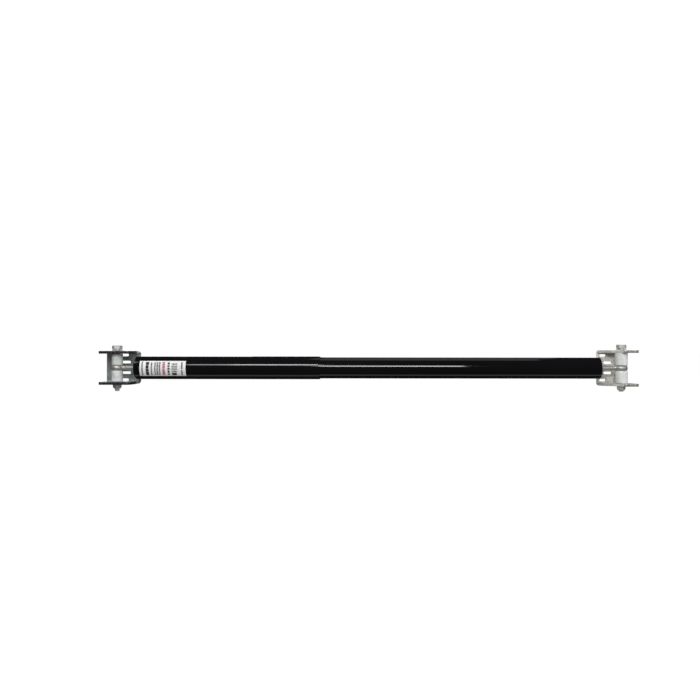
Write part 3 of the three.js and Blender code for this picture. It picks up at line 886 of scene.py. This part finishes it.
def label():
    """White film with blocks of ink where print would be. Nothing on it can be read. The film's upper edge is
    a little lower than the CAD solid's."""
    lo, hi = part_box("label")
    length = hi.x - lo.x
    outer = ARM_Y - lo.y
    reach = math.asin(min(1, (hi.z - lo.z) / 2 / outer))
    bottom, top = -reach, 0.86 * reach
    middle, half = (bottom + top) / 2, (top - bottom) / 2
    inside, outside = outer - 0.22 * MM, outer - 0.03 * MM
    film = patch_object("label_made", [(lo.x, hi.x, bottom, top)], inside, outside)
    stand_in(film, "label")
    rng = random.Random(11)

    def line(share, width_mm, tall, shortest, longest, gap):
        x = lo.x + share * length
        low, high = middle - tall * half, middle + tall * half
        return words(rng, x, width_mm * MM, low, high, shortest, longest, gap)

    def field(start, end, low, high):
        x0, x1 = lo.x + start * length, lo.x + end * length
        return (x0, x1, middle + low * half, middle + high * half)

    grey = line(0.042, 2.7, 0.9, 0.2, 0.4, 0.02)
    grey += line(0.245, 2.5, 0.86, 0.12, 0.3, 0.02)
    for share in (0.32, 0.37, 0.42):
        grey += line(share, 2.9, 0.84, 0.1, 0.3, 0.025)
    grey += line(0.9, 3.0, 0.9, 0.5, 0.62, 0.08)
    grey += bars(rng, *field(0.695, 0.82, -0.5, 0.74))
    black = line(0.137, 5.8, 0.9, 0.22, 0.36, 0.02)
    black.append(field(0.7, 0.805, -0.88, -0.56))
    green = line(0.608, 4.0, 0.84, 0.14, 0.24, 0.05)
    pink = [field(0.482, 0.58, -0.86, 0.86)]
    red = line(0.497, 4.6, 0.84, 0.09, 0.2, 0.03)

    inks = {
        "black": (black, label_ink("ink_black", (0.03, 0.03, 0.032), (0.012, 0.012, 0.013))),
        "grey": (grey, label_ink("ink_grey", (0.17, 0.17, 0.18), (0.07, 0.07, 0.075))),
        "green": (green, label_ink("ink_green", (0.05, 0.08, 0.07), (0.02, 0.035, 0.03))),
        "pink": (pink, label_ink("ink_pink", (0.80, 0.60, 0.63), (0.72, 0.53, 0.56))),
        "red": (red, label_ink("ink_red", (0.30, 0.09, 0.13), (0.20, 0.05, 0.08))),
    }
    for tone, (patches, material) in inks.items():
        rise = 0.01 * MM if tone == "red" else 0
        low, high = outer - 0.04 * MM, outer - 0.018 * MM + rise
        print_piece = patch_object(f"label_print_{tone}", patches, low, high)
        print_piece.data.materials.append(material)
        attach(print_piece, BODY_OF["label"])


# ---------------------------------------------------------------- inside the tubes


def plain_ring(node, bore, soft=0.3 * MM):
    lo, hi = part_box(node)
    outline = ring_outline(bore, (hi.z - lo.z) / 2, lo.x, hi.x, soft)
    stand_in(turned(node + "_made", outline), node)


def grooved(node, bore):
    """A piston: eased edges and a groove for its ring."""
    lo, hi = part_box(node)
    radius = BORE - CLEAR
    ring_lo, ring_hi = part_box(node + "_ring")
    start, end = ring_lo.x - CLEAR, ring_hi.x + CLEAR
    depth = 1.7 * MM
    outline = [(radius, lo.x, 0.6 * MM), (radius, start, 0.15 * MM), (radius - depth, start, 0.2 * MM)]
    outline += [(radius - depth, end, 0.2 * MM), (radius, end, 0.15 * MM), (radius, hi.x, 0.6 * MM)]
    if bore:
        outline = [(bore, lo.x, 0.3 * MM)] + outline + [(bore, hi.x, 0.3 * MM)]
        made = turned(node + "_made", rounded(outline, per_arc=4))
    else:
        outline = [(0.5 * MM, lo.x, 0)] + outline + [(0.5 * MM, hi.x, 0)]
        made = turned(node + "_made", rounded(outline, per_arc=4), loop=False)
    stand_in(made, node)


def hex_nut_x(node, flats, bore):
    """A plain nut on the arm's axis, its corners chamfered at both ends."""
    lo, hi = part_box(node)
    centre = Vector((0, ARM_Y, 0))
    face = flats / 2 * 0.96

    def ring(shape, x, way=0):
        points = []
        for j in range(STEPS):
            angle = TAU * j / STEPS
            r = hexagon(flats, angle, math.pi / 6) if shape == "hex" else shape
            points.append(at_angle("X", centre, r, angle, x - way * max(0, r - face) * 0.58))
        return points

    rings = [
        ring(bore, lo.x + 0.4 * MM),
        ring(bore + 0.4 * MM, lo.x),
        ring(face, lo.x),
        ring("hex", lo.x, -1),
        ring("hex", hi.x, 1),
        ring(face, hi.x),
        ring(bore + 0.4 * MM, hi.x),
        ring(bore, hi.x - 0.4 * MM),
    ]
    stand_in(skin(node + "_made", rings, True, 28), node)


def piston_rod():
    lo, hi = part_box("piston_rod")
    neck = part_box("piston")[0].x - 0.2 * MM
    outline = solid_outline(ROD, lo.x, neck, 0.6 * MM)
    outline = outline[:-1] + [(STUD, neck), (STUD, hi.x - 1 * MM), (STUD - 1 * MM, hi.x)]
    stand_in(turned("piston_rod_made", outline, loop=False), "piston_rod")


def rod_guide():
    lo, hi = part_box("rod_guide")
    tube_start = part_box("body_tube")[0].x - CLEAR
    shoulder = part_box("pressure_cylinder")[0].x - CLEAR
    seal_lo, seal_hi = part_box("rod_seal")
    bore, seat = ROD + CLEAR, seal_hi.x + CLEAR
    seal = (seal_hi.z - seal_lo.z) / 2 + CLEAR
    flange = (hi.z - lo.z) / 2
    body = flange - 1.1 * MM
    soft = 0.35 * MM
    corners = [
        (bore, seat, soft),
        (seal, seat, soft),
        (seal, lo.x, soft),
        (flange, lo.x, 0.6 * MM),
        (flange, tube_start, soft),
        (body, tube_start, soft),
        (body, shoulder, soft),
        (BORE - CLEAR, shoulder, soft),
        (BORE - CLEAR, hi.x, soft),
        (bore, hi.x, soft),
    ]
    stand_in(turned("rod_guide_made", rounded(corners, per_arc=4)), "rod_guide")


def cylinder_base():
    lo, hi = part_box("cylinder_base")
    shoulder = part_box("pressure_cylinder")[1].x + CLEAR
    bore, radius, soft = 3.3 * MM, (hi.z - lo.z) / 2, 0.4 * MM
    corners = [
        (bore, lo.x, soft),
        (BORE - CLEAR, lo.x, soft),
        (BORE - CLEAR, shoulder, soft),
        (radius, shoulder, soft),
        (radius, hi.x, soft),
        (bore, hi.x, soft),
    ]
    stand_in(turned("cylinder_base_made", rounded(corners, per_arc=4)), "cylinder_base")


def kept_nodes():
    """What stays as the CAD has it gets its finish."""
    for name, obj in frame["nodes"].items():
        for used in obj.material_slots:
            used.material = FINISHES[SLOT_OF[name]]


# ---------------------------------------------------------------- the object

kept_nodes()
gate_bracket()
post_bracket()
for end_name, pivot_at, head_twist, nut_twist in (
    ("gate", GATE, math.radians(102), math.radians(8)),
    ("post", POST, math.radians(84), math.radians(-6)),
):
    bolt(end_name, pivot_at, head_twist)
    washer(end_name, pivot_at)
    lock_nut(end_name, pivot_at, nut_twist)
    spacer(f"{end_name}_spacer_top", pivot_at)
    spacer(f"{end_name}_spacer_bottom", pivot_at)
    eye_bush(f"{end_name}_eye_bush", pivot_at)
eye("gate_eye", GATE, 1)
eye("post_eye", POST, -1)
tube("cover_tube", 1.1 * MM, True)
tube("body_tube", 1.2 * MM, False)
end_cap("gate_end_cap", -1, STUD + CLEAR)
end_cap("post_end_cap", 1, STUD + CLEAR)
label()
plain_ring("pressure_cylinder", BORE)
plain_ring("rod_seal", ROD + CLEAR, 0.8 * MM)
plain_ring("piston_ring", BORE - 1.7 * MM)
plain_ring("floating_piston_ring", BORE - 1.7 * MM)
plain_ring("rebound_stop", ROD + CLEAR)
plain_ring("bump_stop", ROD + CLEAR, 3 * MM)
grooved("piston", STUD + CLEAR)
grooved("floating_piston", 0)
hex_nut_x("post_stud_nut", NUT_FLATS, STUD + CLEAR)
hex_nut_x("piston_nut", NUT_FLATS, STUD + CLEAR)
hex_nut_x("rod_lock_nut", 16 * MM, ROD + CLEAR)
piston_rod()
rod_guide()
cylinder_base()


# ---------------------------------------------------------------- stage, light and camera

FLOOR_Z = -0.45
FLOOR_SIZE = 400.0


def floor():
    """A pale floor, lit a little from within so that it stays even out to its far edge."""
    bpy.ops.mesh.primitive_plane_add(size=FLOOR_SIZE, location=(0, 0, FLOOR_Z))
    plane = bpy.context.object
    plane.name = "floor"
    f = Finish("floor_paint", Roughness=0.9, Specular_IOR_Level=0.1, Emission_Strength=0.8)
    f.shader.inputs["Emission Color"].default_value = (1, 1, 1, 1)
    f.colour(f.blend(f.noise(3, 2), (0.86, 0.86, 0.86), (0.9, 0.9, 0.9)))
    plane.data.materials.append(f.material)
    plane.visible_glossy = False
    plane.visible_diffuse = False


def world(seen, felt, mirrored):
    """A white room that lights the object softly and shows only dimly in its gloss."""
    made = bpy.data.worlds.new("studio")
    bpy.context.scene.world = made
    made.use_nodes = True
    nodes, links = made.node_tree.nodes, made.node_tree.links
    nodes.clear()
    path = nodes.new("ShaderNodeLightPath")

    def shine(strength):
        node = nodes.new("ShaderNodeBackground")
        node.inputs["Color"].default_value = (1, 1, 1, 1)
        node.inputs["Strength"].default_value = strength
        return node.outputs[0]

    def either(ray, no, yes):
        node = nodes.new("ShaderNodeMixShader")
        links.new(path.outputs[ray], node.inputs[0])
        links.new(no, node.inputs[1])
        links.new(yes, node.inputs[2])
        return node.outputs[0]

    lit = either("Is Glossy Ray", shine(felt), shine(mirrored))
    out = nodes.new("ShaderNodeOutputWorld")
    links.new(either("Is Camera Ray", lit, shine(seen)), out.inputs[0])


def softbox(name, place, target, width, height, radiance, mirrored=True):
    """An area light whose surface has the same brightness whatever its size."""
    data = bpy.data.lights.new(name, "AREA")
    data.shape = "RECTANGLE"
    data.size, data.size_y = width, height
    data.energy = radiance * width * height * math.pi
    obj = bpy.data.objects.new(name, data)
    bpy.context.scene.collection.objects.link(obj)
    obj.location = place
    obj.rotation_mode = "QUATERNION"
    obj.rotation_quaternion = (Vector(target) - Vector(place)).to_track_quat("-Z", "Y")
    obj.visible_camera = False
    obj.visible_glossy = mirrored


def strip(name, x0, x1, elevation, distance, height, radiance):
    """A softbox along the arm. Elevation in degrees: 0 in front (-Y), 90 overhead, 180 behind, -90 below."""
    middle = Vector(((x0 + x1) / 2, ARM_Y, 0))
    e = math.radians(elevation)
    place = middle + distance * Vector((0, -math.cos(e), math.sin(e)))
    softbox(name, place, middle, x1 - x0, height, radiance)


LINE_AWAY = 1.5
TOP_AWAY = 1.2
BACK_AWAY = 1.6
FLOOR_AWAY = 0.4


def line_lights():
    """What draws the bright line along the tubes. Each ends where the next starts, as seen in the tube."""
    strip("line_gate", -1.11, -0.95, 32, LINE_AWAY, 0.24, 9)
    strip("line_middle", -0.95, -0.63, 32, LINE_AWAY, 0.24, 16)
    strip("line_post", -0.63, -0.11, 20.5, LINE_AWAY, 0.28, 15)
    strip("gate_line", -1.75, -1.3, 58, LINE_AWAY, 0.4, 7.0)


def edge_lights():
    """What shows in the upper and lower edges of the tubes and in the metal."""
    strip("gate_top", -1.9, -1.3, 88, TOP_AWAY, 0.7, 3.5)
    strip("ceiling", -0.63, 0.1, 103, TOP_AWAY, 0.47, 0.7)
    strip("behind", -0.63, 0.25, 145, BACK_AWAY, 1.6, 0.25)
    strip("gate_behind", -1.9, -0.9, 168, BACK_AWAY, 0.5, 2.0)
    strip("below", -0.98, 0.6, -83, FLOOR_AWAY, 0.13, 0.7)
    strip("post_front", 0.66, 1.4, 24, LINE_AWAY, 0.9, 2.2)


def fill_lights():
    """Soft light that falls on the arm without showing in its gloss."""
    softbox("key", (-0.1, -1.2, 1.3), (-0.4, ARM_Y, 0), 1.6, 0.8, 4.4, mirrored=False)
    softbox("post_side", (1.3, -1.1, 0.35), POST, 0.5, 0.5, 12.0, mirrored=False)


CAMERA_BACK = 1.3
CAMERA_UP = 0.03
CAMERA_SIDE = -0.3947
CAMERA_ROLL = math.radians(0.06)
LENS_MM = 39.15
SHIFT_X = -0.05


def camera():
    data = bpy.data.cameras.new("camera")
    data.sensor_width = 36
    data.lens = LENS_MM
    data.shift_x = SHIFT_X
    data.clip_start, data.clip_end = 0.01, 1000
    obj = bpy.data.objects.new("camera", data)
    bpy.context.scene.collection.objects.link(obj)
    obj.location = (CAMERA_SIDE, -CAMERA_BACK, CAMERA_UP)
    obj.rotation_euler = (math.pi / 2, -CAMERA_ROLL, 0)
    bpy.context.scene.camera = obj


floor()
world(seen=1.05, felt=0.25, mirrored=0.03)
line_lights()
edge_lights()
fill_lights()
camera()
bpy.context.scene.view_settings.view_transform = "Standard"
